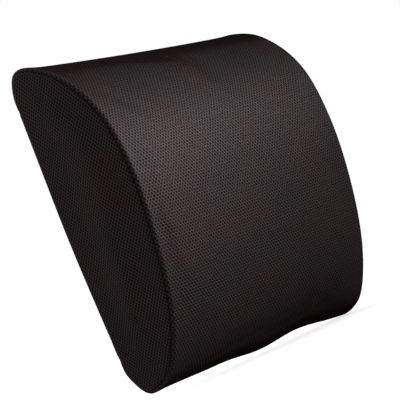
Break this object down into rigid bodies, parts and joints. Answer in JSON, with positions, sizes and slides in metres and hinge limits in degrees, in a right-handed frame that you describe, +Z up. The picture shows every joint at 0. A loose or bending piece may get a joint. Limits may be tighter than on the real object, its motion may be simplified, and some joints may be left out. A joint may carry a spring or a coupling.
{
  "type": "lumbar support cushion",
  "caption": "D-shaped foam lumbar cushion in a black air-mesh cover, with a zipper across the lower back and an elastic strap with a side-release buckle.",
  "frame": {"origin": "middle of the flat back face", "axes": "+X across the width, +Z up, +Y out of the back towards the chair; the bulging front faces -Y"},
  "size_m": [0.33, 0.1279, 0.32],
  "materials": {
    "cover_mesh": "black polyester air mesh, knitted with small round holes, soft matte with a faint sheen",
    "foam": "moulded slow-recovery polyurethane foam, fine open skin",
    "liner_knit": "black jersey knit",
    "sewing_thread": "black bonded polyester thread",
    "zipper_tape": "black woven polyester tape",
    "zipper_coil": "black nylon monofilament",
    "zipper_metal": "black lacquered zinc",
    "strap_webbing": "black woven elastic, ribbed along its length",
    "buckle_plastic": "black moulded acetal, fine matte"
  },
  "bodies": {
    "cushion": {"cover_front_panel": "cover_mesh", "cover_back_panel": "cover_mesh", "cover_lower_strip": "cover_mesh", "cover_left_panel": "cover_mesh", "cover_right_panel": "cover_mesh", "foam_core": "foam", "inner_liner": "liner_knit", "left_seam_thread": "sewing_thread", "right_seam_thread": "sewing_thread", "back_seam_threads": "sewing_thread", "zipper_topstitching": "sewing_thread", "strap_stitching_left": "sewing_thread", "zipper_tape_upper": "zipper_tape", "zipper_tape_lower": "zipper_tape", "zipper_coil_upper": "zipper_coil", "zipper_coil_lower": "zipper_coil", "zipper_top_stops": "zipper_metal", "zipper_bottom_stop": "zipper_metal", "strap_left": "strap_webbing", "strap_right": "strap_webbing", "buckle_socket": "buckle_plastic"},
    "zipper_slider": {"zipper_slider": "zipper_metal", "slider_cap": "zipper_metal"},
    "zipper_pull": {"zipper_pull": "zipper_metal"},
    "buckle_plug": {"buckle_plug": "buckle_plastic", "strap_stitching_right": "sewing_thread"},
    "prong_upper": {"buckle_prong_upper": "buckle_plastic"},
    "prong_lower": {"buckle_prong_lower": "buckle_plastic"}
  },
  "joints": [
    {"name": "zipper_slide", "type": "slide", "parent": "cushion", "child": "zipper_slider", "axis": [1, 0, 0], "range_m": [-0.262, 0]},
    {"name": "zipper_pull_hinge", "type": "hinge", "parent": "zipper_slider", "child": "zipper_pull", "pos_m": [0.1311, 0.0014, -0.098], "axis": [0, 0, -1], "range_deg": [0, 175]},
    {"name": "buckle_release", "type": "slide", "parent": "cushion", "child": "buckle_plug", "axis": [1, 0, 0], "range_m": [0, 0.024], "deforming": ["strap_right", "buckle_prong_upper", "buckle_prong_lower"]},
    {"name": "prong_upper_press", "type": "hinge", "parent": "buckle_plug", "child": "prong_upper", "pos_m": [0.0106, 0.02075, 0.01155], "axis": [0, -1, 0], "range_deg": [0, 10.5], "stiffness_Nm_per_rad": 0.5},
    {"name": "prong_lower_press", "type": "hinge", "parent": "buckle_plug", "child": "prong_lower", "pos_m": [0.0106, 0.02075, -0.01155], "axis": [0, 1, 0], "range_deg": [0, 10.5], "stiffness_Nm_per_rad": 0.5}
  ]
}
